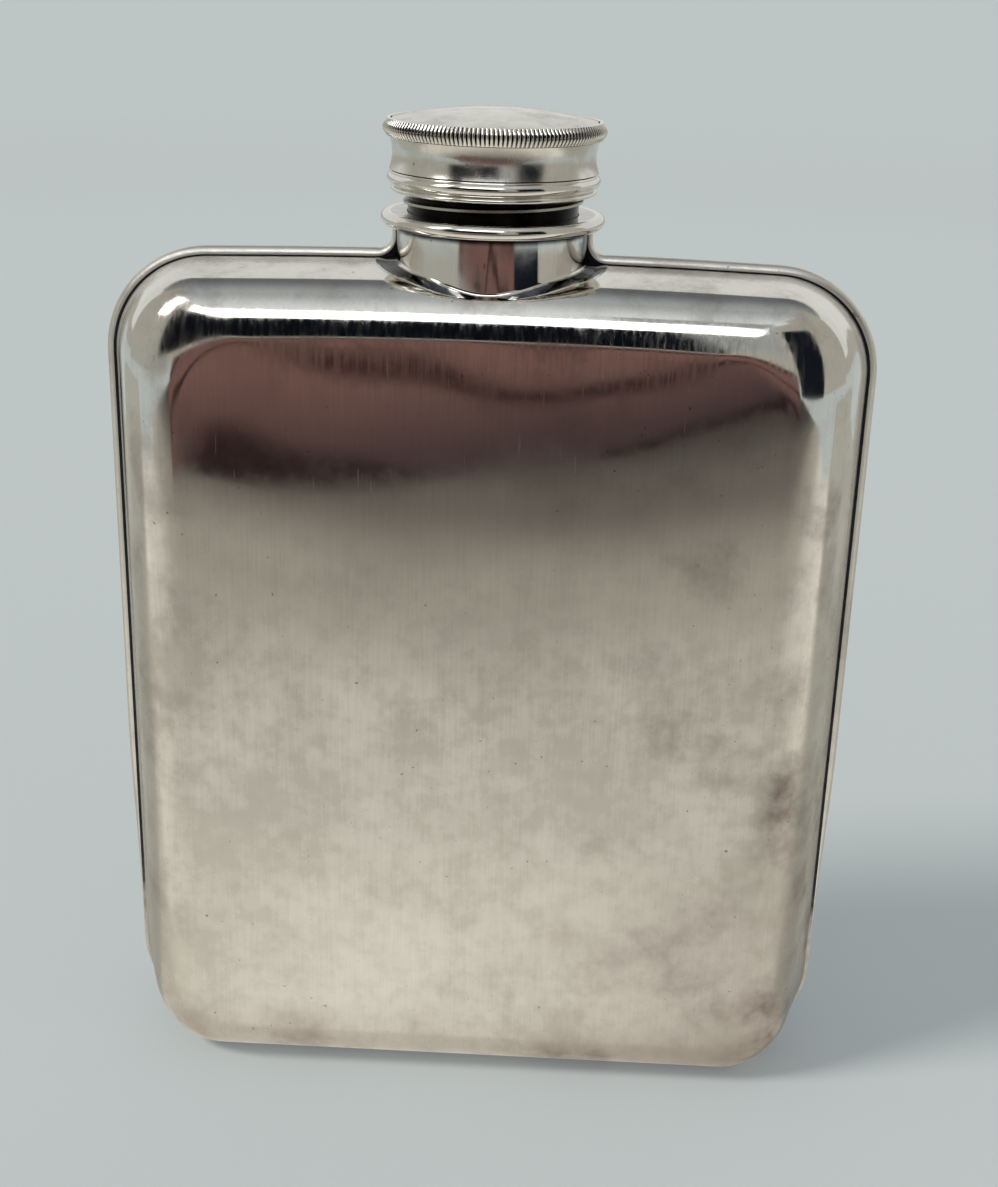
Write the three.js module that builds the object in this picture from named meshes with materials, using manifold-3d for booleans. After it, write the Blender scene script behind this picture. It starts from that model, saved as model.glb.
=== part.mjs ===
// A silver hip flask with a screw cap, in millimetres.
// The origin is the middle of the base. +Z is up, +X is to the right and -Y is the front face.
// The body is two stamped half shells with a raised band over their joint, the neck carries a collar
// and a screw thread, and the cap is drawn backed off the collar by a turn or so.
import * as THREE from 'three';
import { mergeVertices } from 'three/addons/utils/BufferGeometryUtils.js';
import Module from 'manifold-3d';

const wasm = await Module();
wasm.setup();

// ---- driving dimensions: body ----
const BODY_WIDTH = 98; // across the shells, without the seam band
const BODY_HEIGHT = 113.3; // base to the shells' top edge, at the corners
const TOP_ARCH = 0.6; // how far the top edge rises between the corners
const CORNER_RADIUS = 13; // of the outline, seen from the front
const HALF_DEPTH = 14.5; // mid-plane to the edge of the face
const FACE_CROWN = 0.8; // how far the middle of the face stands out further
const SHEET = 0.7; // thickness of the sheet silver
const END_DRAFT = 9; // degrees that the top and bottom walls lean in
const SIDE_DRAFT = 20; // degrees that the side walls lean in
const END_SHOULDER = 7; // radius from wall to face at the top and bottom
const SIDE_SHOULDER = 9; // the same radius along the sides
const BASE_FLAT = 0.8; // depth to which the base is planished flat
const BAND_WIDTH = 2; // seam band, across the joint
const BAND_PROUD = 1; // seam band, above the shells
const BAND_EDGE = 0.5; // chamfer along the band's edges
const BAND_NECK_PROUD = 0.6; // seam band, above the neck
const BAND_FILLET = 1.8; // radius in which the band turns up the neck

// ---- driving dimensions: neck ----
const NECK_HEIGHT = 4.8; // shells' top edge to the underside of the collar
const FOOT_SIDE = 2; // spread of the neck's foot towards the sides
const FOOT_FRONT = 1; // spread of the neck's foot towards the faces
const COLLAR_LIP = 2.05; // how far the collar overhangs the neck
const COLLAR_THICKNESS = 1.7;
const TUBE_WALL = 1.15; // threaded tube, below its thread
const TUBE_BORE = 9.6; // radius of the bore
const TUBE_HEIGHT = 6.15; // collar to mouth
const TUBE_BELOW = 3; // how far the tube reaches down through the collar

// ---- driving dimensions: thread ----
const PITCH = 1.2;
const THREAD_DEPTH = 0.6;
const THREAD_BASE = 0.7; // width of a ridge at its root
const THREAD_CREST = 0.3; // width of a ridge at its top
const THREAD_START = 1.4; // collar to the first full crest, at the front
const THREAD_GAP = 0.2; // radial running clearance

// ---- driving dimensions: cap ----
const CAP_LIFT = 2.15; // how far the cap is unscrewed from shut
const SHUT_GAP = 0.3; // cap's foot to the collar when it is shut
const BEAD_HEIGHT = 2.55;
const BEAD_BULGE = 0.65; // how far the foot bead stands out from the foot's edge
const WAIST_HOLLOW = 0.34; // depth of the waist's curve
const CAP_WALL = 0.55; // waist wall at its thinnest
const SLEEVE_WALL = 0.55; // sleeve behind the bottom of its thread
const GRIP_HEIGHT = 2.1;
const GRIP_PROUD = 1.2; // knurled ring at its widest, beyond the waist
const GRIP_BARREL = 0.5; // how far its rims are turned in
const GRIP_RIM = 1.1; // knurled ring at its widest, beyond the plate
const PLATE_SEAT = 0.95; // width of the ledge that the plate sits on
const PLATE_SHEET = 0.6;
const PLATE_EDGE = 0.8; // height of the plate's straight edge
const PLATE_DOME = 1.45;
const LINER_PLATE = 0.35;
const CORK_THICKNESS = 1.5;

// ---- clearances ----
const SEAT_GAP = 0.1; // between soldered pieces
const SEAL_GAP = 0.05; // cork to the mouth when the cap is shut
const TUBE_CLEARANCE = 0.65; // threaded tube to the inside of the neck
const CORK_CLEARANCE = 0.25; // cork to the sleeve round it

// ---- fineness ----
const CORNER_STEPS = 7;
const STRAIGHT_STEPS = 4;
const SHOULDER_STEPS = 4;
const FACE_STEPS = 3;
const ROUND_STEPS = 36; // round every turned piece

// ---- places worked out from the sizes above ----
const RAD = Math.PI / 180;
const halfWidth = BODY_WIDTH / 2;
const bandHalf = BAND_WIDTH / 2;
const rootRadius = TUBE_BORE + TUBE_WALL;
const crestRadius = rootRadius + THREAD_DEPTH;
const neckBore = rootRadius + TUBE_CLEARANCE;
const neckRadius = neckBore + SHEET;
const collarRadius = neckRadius + COLLAR_LIP;
const collarBottom = BODY_HEIGHT + NECK_HEIGHT;
const collarTop = collarBottom + COLLAR_THICKNESS;
const mouthHeight = collarTop + TUBE_HEIGHT;
const sleeveBore = crestRadius + THREAD_GAP;
const sleeveOuter = sleeveBore + SLEEVE_WALL;
const waistBore = sleeveOuter + SEAT_GAP;
const waistRadius = waistBore + CAP_WALL;
const gripRadius = waistRadius + GRIP_PROUD;
const plateRadius = gripRadius - GRIP_RIM;
const gripBore = plateRadius - PLATE_SEAT;
const corkRadius = sleeveBore - CORK_CLEARANCE;
const corkBottom = mouthHeight + SEAL_GAP + CAP_LIFT;
const corkTop = corkBottom + CORK_THICKNESS;
const linerPlateBottom = corkTop + SEAT_GAP;
const linerPlateTop = linerPlateBottom + LINER_PLATE;
const plateBottom = linerPlateTop + SEAT_GAP;
const gripTop = plateBottom + PLATE_EDGE;
const gripBottom = gripTop - GRIP_HEIGHT;
const capFoot = collarTop + SHUT_GAP + CAP_LIFT;
const beadTop = capFoot + BEAD_HEIGHT;
const waistBottom = beadTop + SEAT_GAP;
const waistTop = gripBottom - SEAT_GAP;
const lipRadius = TUBE_WALL / 4;
const maleStart = collarTop + THREAD_START - PITCH / 2;
const maleTurns = (mouthHeight - lipRadius - THREAD_BASE / 2 - maleStart) / PITCH;
const sleeveBottom = capFoot + SEAT_GAP;
const femaleStart = sleeveBottom + THREAD_BASE;
const femaleTurns = (corkBottom - THREAD_BASE - femaleStart) / PITCH;

// ---- solids ----
function solid(geometry) {
  const bare = geometry.clone();
  bare.deleteAttribute('normal');
  bare.deleteAttribute('uv');
  const merged = mergeVertices(bare, 1e-4);
  const position = merged.getAttribute('position');
  const index = merged.getIndex().array;
  const triangles = [];
  let volume = 0;
  const [a, b, c] = [new THREE.Vector3(), new THREE.Vector3(), new THREE.Vector3()];
  for (let i = 0; i < index.length; i += 3) {
    const [p, q, r] = [index[i], index[i + 1], index[i + 2]];
    if (p === q || q === r || r === p) continue; // a face that closes up at a pole
    triangles.push([p, q, r]);
    volume += a.fromBufferAttribute(position, p)
      .dot(b.fromBufferAttribute(position, q).cross(c.fromBufferAttribute(position, r)));
  }
  const outward = volume > 0 ? triangles : triangles.map(([p, q, r]) => [p, r, q]);
  return new wasm.Manifold(new wasm.Mesh({
    numProp: 3,
    vertProperties: Float32Array.from(position.array),
    triVerts: Uint32Array.from(outward.flat()),
  }));
}

function geometryOf(manifold) {
  const mesh = manifold.getMesh();
  const geometry = new THREE.BufferGeometry();
  geometry.setAttribute('position', new THREE.BufferAttribute(mesh.vertProperties, 3));
  geometry.setIndex(new THREE.BufferAttribute(mesh.triVerts, 1));
  geometry.computeVertexNormals();
  return geometry;
}

// A piece turned round the flask's upright axis from [radius, height] points.
function turned(profile) {
  const points = profile.map(([radius, height]) => new THREE.Vector2(radius, height));
  return solid(new THREE.LatheGeometry(points, ROUND_STEPS).rotateX(Math.PI / 2));
}

function turnedRing(profile) {
  return turned([...profile, profile[0]]);
}

// A plan in X and Z, given thickness along Y about the mid-plane.
function slab(shape, thickness) {
  const geometry = new THREE.ExtrudeGeometry(shape, { depth: thickness, bevelEnabled: false });
  return solid(geometry.rotateX(Math.PI / 2).translate(0, thickness / 2, 0));
}

function block(x0, x1, y0, y1, z0, z1) {
  const box = new THREE.BoxGeometry(x1 - x0, y1 - y0, z1 - z0);
  return solid(box.translate((x0 + x1) / 2, (y0 + y1) / 2, (z0 + z1) / 2));
}

// A round stretch of a profile from one [radius, height] point to another, bulging by a set amount.
function bulged(from, to, bulge, steps) {
  const points = [];
  for (let i = 0; i <= steps; i += 1) {
    const t = i / steps;
    const swell = bulge * 4 * t * (1 - t);
    points.push([from[0] + (to[0] - from[0]) * t + swell, from[1] + (to[1] - from[1]) * t]);
  }
  return points;
}

// ---- the flask's outline ----
const cornerX = halfWidth - CORNER_RADIUS;
const cornerTop = BODY_HEIGHT - CORNER_RADIUS;
const cornerBottom = CORNER_RADIUS - BASE_FLAT;

function topEdge(x) {
  return BODY_HEIGHT + TOP_ARCH * (1 - (x / cornerX) ** 2);
}

// Stations run once round the outline: a point and the direction that faces outwards there.
function outlineStations() {
  const stations = [];
  const straight = (x0, z0, x1, z1, nx, nz, height) => {
    for (let i = 1; i < STRAIGHT_STEPS; i += 1) {
      const t = i / STRAIGHT_STEPS;
      const x = x0 + (x1 - x0) * t;
      stations.push({ x, z: height ? height(x) : z0 + (z1 - z0) * t, nx, nz });
    }
  };
  const corner = (x, z, startAngle) => {
    for (let i = 0; i <= CORNER_STEPS; i += 1) {
      const angle = (startAngle + (90 * i) / CORNER_STEPS) * RAD;
      const [nx, nz] = [Math.cos(angle), Math.sin(angle)];
      stations.push({ x: x + CORNER_RADIUS * nx, z: z + CORNER_RADIUS * nz, nx, nz });
    }
  };
  corner(cornerX, cornerTop, 0);
  straight(cornerX, 0, -cornerX, 0, 0, 1, topEdge);
  corner(-cornerX, cornerTop, 90);
  straight(-halfWidth, cornerTop, -halfWidth, cornerBottom, -1, 0);
  corner(-cornerX, cornerBottom, 180);
  straight(-cornerX, -BASE_FLAT, cornerX, -BASE_FLAT, 0, -1);
  corner(cornerX, cornerBottom, 270);
  straight(halfWidth, cornerBottom, halfWidth, cornerTop, 1, 0);
  return stations;
}

const stations = outlineStations();

// ---- the shells' section, from the seam over the shoulder to the face ----
const flatDepth = BASE_FLAT / Math.tan(END_DRAFT * RAD);

function sectionAt(nz) {
  const draft = (SIDE_DRAFT + (END_DRAFT - SIDE_DRAFT) * nz * nz) * RAD;
  const radius = SIDE_SHOULDER + (END_SHOULDER - SIDE_SHOULDER) * nz * nz;
  const centreDepth = HALF_DEPTH - radius;
  const centreInset = (radius + centreDepth * Math.sin(draft)) / Math.cos(draft);
  return { draft, radius, centreDepth, centreInset };
}

// Inset from the outline and depth from the mid-plane, for a surface lying inside the outer one.
// The wall's first stretch is as deep as the part of the base that is pressed flat.
function sectionPoints(nz, inside) {
  const { draft, radius, centreDepth, centreInset } = sectionAt(nz);
  const points = [];
  for (let i = 0; i <= SHOULDER_STEPS; i += 1) {
    const angle = draft + (Math.PI / 2 - draft) * (i / SHOULDER_STEPS);
    const inset = centreInset - (radius - inside) * Math.cos(angle);
    points.push([inset, centreDepth + (radius - inside) * Math.sin(angle)]);
  }
  const [wallInset, wallDepth] = points[0];
  const onWall = (depth) => [wallInset - (wallDepth - depth) * Math.tan(draft), depth];
  return [onWall(0), onWall(Math.min(flatDepth, wallDepth * 0.8)), ...points];
}

// Height of the flask's top over a point of the plan, away from the corners.
function topSurface(x, y) {
  const { draft, radius, centreDepth, centreInset } = sectionAt(1);
  const depth = Math.min(Math.abs(y), HALF_DEPTH);
  const wallDepth = centreDepth + radius * Math.sin(draft);
  if (depth < wallDepth) return topEdge(x) - depth * Math.tan(draft);
  return topEdge(x) - centreInset + Math.sqrt(radius ** 2 - (depth - centreDepth) ** 2);
}

// A closed dish: a lathe turned once round the outline instead of round a circle.
function dish(side, inside) {
  const rows = SHOULDER_STEPS + 3 + FACE_STEPS;
  const placeholder = [];
  for (let j = 0; j < rows; j += 1) placeholder.push(new THREE.Vector2(rows - 1 - j, j));
  placeholder.unshift(new THREE.Vector2(0, 0));
  const geometry = new THREE.LatheGeometry(placeholder, stations.length);
  const position = geometry.getAttribute('position');
  const middle = (BODY_HEIGHT - BASE_FLAT) / 2;
  for (let i = 0; i <= stations.length; i += 1) {
    const { x, z, nx, nz } = stations[i % stations.length];
    const section = sectionPoints(nz, inside);
    const [lastInset, lastDepth] = section[section.length - 1];
    const place = (row, px, pz, depth) => {
      position.setXYZ(i * (rows + 1) + row, px, side * depth, Math.max(pz, inside));
    };
    place(0, 0, middle, 0);
    section.forEach(([inset, depth], j) => place(j + 1, x - nx * inset, z - nz * inset, depth));
    for (let k = 1; k <= FACE_STEPS; k += 1) {
      const s = 1 - k / FACE_STEPS;
      const px = (x - nx * lastInset) * s;
      const pz = middle + (z - nz * lastInset - middle) * s;
      place(section.length + k, px, pz, lastDepth + FACE_CROWN * (1 - s * s));
    }
  }
  return solid(geometry);
}

// The neck before it is bored, with a foot that spreads onto the shoulders.
function neckStock() {
  const FILLET_STEPS = 4;
  const rows = FILLET_STEPS + 5;
  const placeholder = [new THREE.Vector2(0, 0)];
  for (let j = 1; j < rows - 1; j += 1) placeholder.push(new THREE.Vector2(1, j));
  placeholder.push(new THREE.Vector2(0, rows));
  const geometry = new THREE.LatheGeometry(placeholder, ROUND_STEPS);
  const position = geometry.getAttribute('position');
  const foundation = BODY_HEIGHT - HALF_DEPTH;
  for (let i = 0; i <= ROUND_STEPS; i += 1) {
    const angle = ((i % ROUND_STEPS) / ROUND_STEPS) * Math.PI * 2;
    const [cos, sin] = [Math.cos(angle), Math.sin(angle)];
    const spread = FOOT_FRONT + (FOOT_SIDE - FOOT_FRONT) * cos * cos;
    const wide = neckRadius + spread;
    const low = topSurface(wide * cos, wide * sin);
    const crease = topSurface(neckRadius * cos, neckRadius * sin);
    const profile = [[0, foundation], [wide, low - SHEET]];
    for (let k = 0; k <= FILLET_STEPS; k += 1) {
      const t = k / FILLET_STEPS;
      const radius = neckRadius + spread * (1 - t) ** 2;
      profile.push([radius, low * (1 - t) ** 2 + crease * 2 * t * (1 - t) + (crease + spread) * t * t]);
    }
    profile.push([neckRadius, collarBottom - SEAT_GAP], [0, collarBottom - SEAT_GAP]);
    profile.forEach(([radius, height], j) => {
      position.setXYZ(i * rows + j, radius * cos, radius * sin, height);
    });
  }
  return solid(geometry);
}

function neckBoreCutter() {
  const [low, high] = [BODY_HEIGHT - HALF_DEPTH, collarTop];
  return turned([[0, low], [neckBore, low], [neckBore, high], [0, high]]);
}

function shell(side) {
  const far = BODY_WIDTH;
  const edge = bandHalf + SEAT_GAP;
  const [near, away] = [side * edge, side * far];
  const half = block(-far, far, Math.min(near, away), Math.max(near, away), -far, 2 * BODY_HEIGHT);
  return dish(side, 0).add(neckStock()).subtract(dish(side, SHEET))
    .subtract(neckBoreCutter()).intersect(half);
}

// The band's loop over the joint: its section, as growth beyond the outline and depth, is carried
// once round the outline, and pressed flat at the base.
function bandLoop() {
  const half = BAND_WIDTH / 2;
  const section = [
    [-SHEET, -half], [BAND_PROUD - BAND_EDGE, -half], [BAND_PROUD, BAND_EDGE - half],
    [BAND_PROUD, half - BAND_EDGE], [BAND_PROUD - BAND_EDGE, half], [-SHEET, half], [-SHEET, -half],
  ];
  const placeholder = section.map(([grow, depth]) => new THREE.Vector2(BODY_WIDTH + grow, depth));
  const geometry = new THREE.LatheGeometry(placeholder, stations.length);
  const position = geometry.getAttribute('position');
  for (let i = 0; i <= stations.length; i += 1) {
    const { x, z, nx, nz } = stations[i % stations.length];
    section.forEach(([grow, depth], j) => {
      const height = Math.max(z + nz * grow, Math.max(-grow, 0));
      position.setXYZ(i * section.length + j, x + nx * grow, depth, height);
    });
  }
  return solid(geometry);
}

// The band is opened at the neck and turned up its sides.
function seamBand() {
  const neckSide = neckRadius + BAND_NECK_PROUD;
  const turnX = neckSide + BAND_FILLET;
  const top = topEdge(turnX) + BAND_PROUD - BAND_EDGE;
  const high = collarBottom - SEAT_GAP;
  const upright = new THREE.Shape();
  upright.moveTo(-turnX, top - SHEET);
  upright.lineTo(turnX, top - SHEET);
  upright.lineTo(turnX, top);
  upright.absarc(turnX, top + BAND_FILLET, BAND_FILLET, -Math.PI / 2, -Math.PI, true);
  upright.lineTo(neckSide, high);
  upright.lineTo(-neckSide, high);
  upright.absarc(-turnX, top + BAND_FILLET, BAND_FILLET, 0, -Math.PI / 2, true);
  upright.closePath();
  const bore = block(-neckBore, neckBore, -BAND_WIDTH, BAND_WIDTH, BODY_HEIGHT - HALF_DEPTH, mouthHeight);
  return bandLoop().add(slab(upright, BAND_WIDTH)).subtract(bore);
}

// ---- threads ----
// A straight bar of thread is bent round the axis and climbs one pitch a turn. Its ends run out.
function threadRidge(root, crest, sunk, startAngle, startHeight, turns) {
  const shape = new THREE.Shape([
    new THREE.Vector2(root + sunk, -THREAD_BASE / 2),
    new THREE.Vector2(crest, -THREAD_CREST / 2),
    new THREE.Vector2(crest, THREAD_CREST / 2),
    new THREE.Vector2(root + sunk, THREAD_BASE / 2),
  ]);
  const length = turns * Math.PI * 2;
  const steps = Math.round(turns * ROUND_STEPS);
  const geometry = new THREE.ExtrudeGeometry(shape, { depth: length, steps, bevelEnabled: false });
  const position = geometry.getAttribute('position');
  const runOut = Math.PI / 4;
  for (let i = 0; i < position.count; i += 1) {
    const along = position.getZ(i);
    const grown = Math.min(1, Math.min(along, length - along) / runOut);
    const base = root + sunk / 2;
    const full = position.getX(i);
    const radius = full === Math.fround(root + sunk) ? full : base + (full - base) * grown;
    const angle = startAngle + along;
    const height = startHeight + position.getY(i) + (PITCH * along) / (Math.PI * 2);
    position.setXYZ(i, radius * Math.cos(angle), radius * Math.sin(angle), height);
  }
  return solid(geometry);
}

const BACK = -1.5 * Math.PI; // half a turn before the front

function threadedNeck() {
  const low = collarBottom - TUBE_BELOW;
  const shoulder = mouthHeight - lipRadius;
  const tube = turnedRing([
    [TUBE_BORE, low], [rootRadius, low], [rootRadius, shoulder], [rootRadius - lipRadius, mouthHeight],
    [TUBE_BORE + lipRadius, mouthHeight], [TUBE_BORE, shoulder],
  ]);
  return tube.add(threadRidge(rootRadius, crestRadius, -THREAD_DEPTH / 2, BACK, maleStart, maleTurns));
}

function threadSleeve() {
  const tube = turnedRing([
    [sleeveBore, sleeveBottom], [sleeveOuter, sleeveBottom],
    [sleeveOuter, waistTop], [sleeveBore, waistTop],
  ]);
  const turnsUp = (femaleStart - maleStart) / PITCH - 0.5; // half a pitch out of step with the neck's
  const angle = BACK + turnsUp * Math.PI * 2;
  const minor = rootRadius + THREAD_GAP;
  return tube.add(threadRidge(sleeveBore, minor, THREAD_DEPTH / 2, angle, femaleStart, femaleTurns));
}

// ---- turned pieces ----
function neckCollar() {
  const bore = rootRadius + SEAT_GAP;
  const rim = COLLAR_THICKNESS / 2;
  const profile = [[bore, collarBottom], [collarRadius - rim, collarBottom]];
  for (let i = 1; i < 6; i += 1) {
    const angle = (-90 + 30 * i) * RAD;
    profile.push([collarRadius - rim + rim * Math.cos(angle), collarBottom + rim + rim * Math.sin(angle)]);
  }
  profile.push([collarRadius - rim, collarTop], [bore, collarTop]);
  return turnedRing(profile);
}

function footBead() {
  const foot = [waistBore + 0.35, capFoot];
  const neck = [waistRadius + 0.15, beadTop];
  return turnedRing([[waistBore, capFoot], ...bulged(foot, neck, BEAD_BULGE, 6), [waistBore, beadTop]]);
}

function waist() {
  const low = [waistRadius + WAIST_HOLLOW, waistBottom];
  const high = [waistRadius + WAIST_HOLLOW, waistTop];
  return turnedRing([
    [waistBore, waistBottom], ...bulged(low, high, -WAIST_HOLLOW, 6), [waistBore, waistTop],
  ]);
}

function knurledRing() {
  const rim = gripRadius - GRIP_BARREL;
  const seat = plateRadius + SEAT_GAP;
  return turnedRing([
    [gripBore, gripBottom], ...bulged([rim, gripBottom], [rim, gripTop], GRIP_BARREL, 6),
    [seat, gripTop], [seat, plateBottom - SEAT_GAP / 2], [gripBore, plateBottom - SEAT_GAP / 2],
  ]);
}

function topPlate() {
  const DOME_STEPS = 6;
  const under = gripBore;
  const profile = [];
  for (let i = 0; i <= DOME_STEPS; i += 1) {
    const t = i / DOME_STEPS;
    profile.push([plateRadius * t, gripTop + PLATE_DOME * (1 - t * t)]);
  }
  profile.push([plateRadius, plateBottom], [under, plateBottom]);
  for (let i = 2; i >= 0; i -= 1) {
    const t = i / 3;
    profile.push([under * t, gripTop - PLATE_SHEET + PLATE_DOME * (1 - t * t)]);
  }
  return turned(profile);
}

function disc(radius, low, high) {
  return turned([[0, low], [radius, low], [radius, high], [0, high]]);
}

// ---- finishes ----
const finish = (color, roughness, metalness) => (
  new THREE.MeshStandardMaterial({ color, roughness, metalness })
);
const POLISHED = [0xc9c4b8, 0.15, 1];
const TARNISHED = [0x55514a, 0.45, 1];
const CORK = [0xb58b5c, 0.9, 0];

// ---- the flask ----
const flask = new THREE.Group();

function piece(name, manifold, [color, roughness, metalness]) {
  const mesh = new THREE.Mesh(geometryOf(manifold), finish(color, roughness, metalness));
  mesh.name = name;
  flask.add(mesh);
}

piece('front_shell', shell(-1), POLISHED);
piece('back_shell', shell(1), POLISHED);
piece('seam_band', seamBand(), POLISHED);
piece('neck_collar', neckCollar(), POLISHED);
piece('threaded_neck', threadedNeck(), TARNISHED);
piece('cap_thread_sleeve', threadSleeve(), TARNISHED);
piece('cap_foot_bead', footBead(), POLISHED);
piece('cap_waist', waist(), POLISHED);
piece('cap_knurled_ring', knurledRing(), POLISHED);
piece('cap_top_plate', topPlate(), POLISHED);
piece('cap_liner_plate', disc(gripBore - SEAT_GAP, linerPlateBottom, linerPlateTop), TARNISHED);
piece('cork_liner', disc(corkRadius, corkBottom, corkTop), CORK);

export default flask;
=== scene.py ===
# %% [markdown]
# # A silver hip flask
# The real flask is sheet silver. Two pressed halves are soldered along a raised seam strip, a short
# flanged neck stands on top, and a hollow screw cap with a milled ring turns on a threaded tube.
# The design model already holds every size. This lesson puts a fine surface round it: each piece is
# pressed, turned or spun in mesh code to the same sizes, and polished with a node material.

from math import atan2, cos, degrees, pi, radians, sin, sqrt, tan, tau

import bmesh
import bpy
from mathutils import Matrix, Vector


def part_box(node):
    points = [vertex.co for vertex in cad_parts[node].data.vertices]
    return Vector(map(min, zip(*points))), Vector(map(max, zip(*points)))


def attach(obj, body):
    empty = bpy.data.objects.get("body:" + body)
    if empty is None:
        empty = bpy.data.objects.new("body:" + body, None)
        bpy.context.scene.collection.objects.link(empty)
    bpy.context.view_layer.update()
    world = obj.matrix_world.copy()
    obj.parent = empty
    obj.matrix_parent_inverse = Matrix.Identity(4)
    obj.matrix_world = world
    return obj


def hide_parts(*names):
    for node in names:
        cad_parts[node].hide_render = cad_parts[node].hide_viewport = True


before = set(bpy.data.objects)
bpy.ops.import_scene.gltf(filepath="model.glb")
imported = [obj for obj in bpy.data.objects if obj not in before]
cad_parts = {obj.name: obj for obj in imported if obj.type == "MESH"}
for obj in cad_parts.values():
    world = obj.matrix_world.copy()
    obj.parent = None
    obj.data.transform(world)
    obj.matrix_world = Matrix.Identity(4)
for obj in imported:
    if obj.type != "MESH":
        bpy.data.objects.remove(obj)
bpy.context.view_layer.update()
MM = 0.001  # Blender's unit is the metre, and a silversmith's is the millimetre


def node_box(node):
    """A design node's lowest and highest corner, in millimetres."""
    low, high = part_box(node)
    return low / MM, high / MM


for node in sorted(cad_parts):
    low, high = node_box(node)
    print(f"{node:18} x ±{high.x:6.2f}   y {low.y:6.2f} {high.y:6.2f}   z {low.z:7.2f} {high.z:7.2f}")

# %% [markdown]
# ## Reading the sizes
# A turned piece needs only its radii and heights, and those are the corners of its node's box. The
# body's own curves can't be read from a box, so the few values that shape them are named here: the
# draft of the walls, the rounding of the shoulders and the crown of the faces. A press leaves all
# three, because a punch has to slip out of the sheet again and flat sheet would ring and dent.

# %% Sizes of the body, in millimetres
BAND_PROUD = 1.0  # seam strip beyond the shells
COLLAR_LIP = 2.05  # collar beyond the neck
NECK_HEIGHT = 4.8  # shells' top edge to the underside of the collar
FACE_CROWN = 0.8  # rise of each face towards its middle
CORNER_RADIUS = 13.0
CORNER_X = 36.0  # corner centres from the middle
TOP_ARCH = 0.6  # rise of the top edge in its middle
BASE_FLAT = 0.8  # how far the bottom edge is pressed flat
END_DRAFT, SIDE_DRAFT = 9.0, 20.0  # slope of the walls, at the top and base and at the sides
END_SHOULDER, SIDE_SHOULDER = 7.0, 9.0  # rounding from wall to face
CREASE = 6.0  # turn between wall and shoulder, in degrees
SHEET = 0.7  # thickness of the silver
NECK_WALL = 0.7
SEAM_GAP = 0.1  # solder line between a shell and the seam strip

band_high = node_box("seam_band")[1]
collar_low, collar_high = node_box("neck_collar")
HALF_WIDTH = band_high.x - BAND_PROUD
HALF_DEPTH = node_box("back_shell")[1].y - FACE_CROWN
BAND_HALF = band_high.y
NECK_RADIUS = collar_high.x - COLLAR_LIP
NECK_TOP = band_high.z
BODY_HEIGHT = collar_low.z - NECK_HEIGHT
CORNER_TOP = BODY_HEIGHT - CORNER_RADIUS
CORNER_LOW = CORNER_RADIUS - BASE_FLAT
print(f"body {2 * HALF_WIDTH:.1f} wide, {BODY_HEIGHT:.1f} high, {2 * HALF_DEPTH:.1f} deep at its edges")

# %% [markdown]
# ## Three helpers
# `even` spaces values along a line and `arc` along a bend. `turned` is the lathe: it makes a line of
# vertices in the plane of the axis and spins it, as a spinner forces a disc over a turning chuck.
# A profile that ends on the axis closes itself, because the vertices there are merged.

# %% Lines, arcs and the lathe
def even(start, end, steps):
    return [start + (end - start) * i / steps for i in range(steps + 1)]


def arc(centre, radius, start, end, steps):
    """Points round a centre, with the angles in degrees."""
    turns = even(radians(start), radians(end), steps)
    return [(centre[0] + radius * cos(a), centre[1] + radius * sin(a)) for a in turns]


def turned(profile, steps=180, closed=True, angle=tau):
    """Spins a profile of (radius, height) pairs round the upright axis."""
    bm = bmesh.new()
    line = [bm.verts.new((r, 0, z)) for r, z in profile]
    edges = [bm.edges.new(pair) for pair in zip(line, line[1:])]
    if closed:
        edges.append(bm.edges.new((line[-1], line[0])))
    whole = abs(angle - tau) < 1e-9
    bmesh.ops.spin(
        bm, geom=line + edges, cent=(0, 0, 0), axis=(0, 0, 1), angle=angle, steps=steps, use_merge=whole
    )
    return bm


# %% [markdown]
# ## From a bmesh to a piece of the flask
# Every piece goes through one door. Doubles are merged, normals are made to point outwards, creases
# sharper than a chosen angle are marked so that smooth shading stops there, and the millimetres
# become metres. Then the piece is told which body it rides on and which finish it has, and the
# plain design nodes it stands for are hidden.

# %% One door for all pieces
SHARP = radians(28)
# The vertex number carries tarnish in the milled ring's grooves, and painted shade and painted dark
# reflection on the neck, the collar and the seam strip.
TARNISH_AND_SHADE = "tarnish_and_shade"  # a number on each vertex, from 0 for polished to 1 for black in the corners


def finish_mesh(bm):
    bmesh.ops.remove_doubles(bm, verts=bm.verts, dist=0.0005)
    bmesh.ops.recalc_face_normals(bm, faces=bm.faces)
    for edge in bm.edges:
        edge.smooth = edge.calc_face_angle(0) < SHARP
    for face in bm.faces:
        face.smooth = True


def make_piece(bm, name, material, body, slot, *nodes):
    finish_mesh(bm)
    bmesh.ops.scale(bm, vec=(MM, MM, MM), verts=bm.verts)
    mesh = bpy.data.meshes.new(name)
    bm.to_mesh(mesh)
    triangles = sum(len(face.verts) - 2 for face in bm.faces)
    open_edges = sum(edge.is_boundary for edge in bm.edges)
    bm.free()
    piece = bpy.data.objects.new(name, mesh)
    bpy.context.scene.collection.objects.link(piece)
    mesh.materials.append(material)
    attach(piece, body)
    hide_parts(*nodes)
    print(f"{name}: {triangles} triangles, {open_edges} open edges, rides on {body}")
    return piece


# %% [markdown]
# ## Colours and nodes
# Colours are written as the hex values a designer would pick and turned to linear light once, here.
# `add` makes a node, sets what it is given and links what it is given, so a material below reads as
# a list of what happens to the metal.

# %% Hex colours and one function for all nodes
def colour(code):
    values = [int(code[i : i + 2], 16) / 255 for i in (1, 3, 5)]
    return [v / 12.92 if v <= 0.04045 else ((v + 0.055) / 1.055) ** 2.4 for v in values] + [1]


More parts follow.
